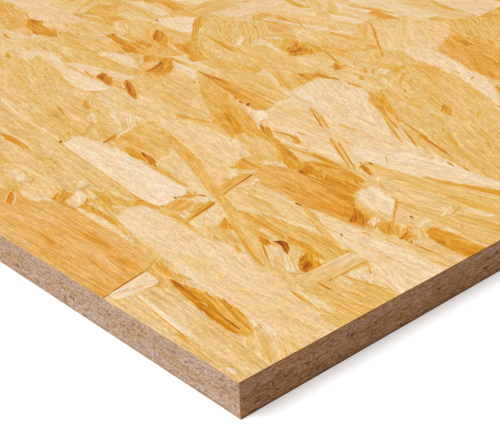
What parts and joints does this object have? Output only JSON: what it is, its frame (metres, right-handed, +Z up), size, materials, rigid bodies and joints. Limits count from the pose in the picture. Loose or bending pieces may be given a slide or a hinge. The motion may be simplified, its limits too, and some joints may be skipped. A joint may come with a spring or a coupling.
{
  "type": "osb panel",
  "caption": "Flat oriented strand board sheet with square sawn edges, for sheathing floors, walls and roofs.",
  "frame": {"origin": "middle of the panel's underside, on the floor that it lies on", "axes": "+X along the panel's length and most of its face strands, +Y along its width, +Z up through its thickness"},
  "size_m": [2.44, 1.22, 0.018],
  "materials": {
    "osb_board": "pressed pale softwood strands with amber and cream pieces, unsanded satin, grey-brown sawn edges"
  },
  "bodies": {
    "root": {"osb_panel": "osb_board"}
  },
  "joints": []
}
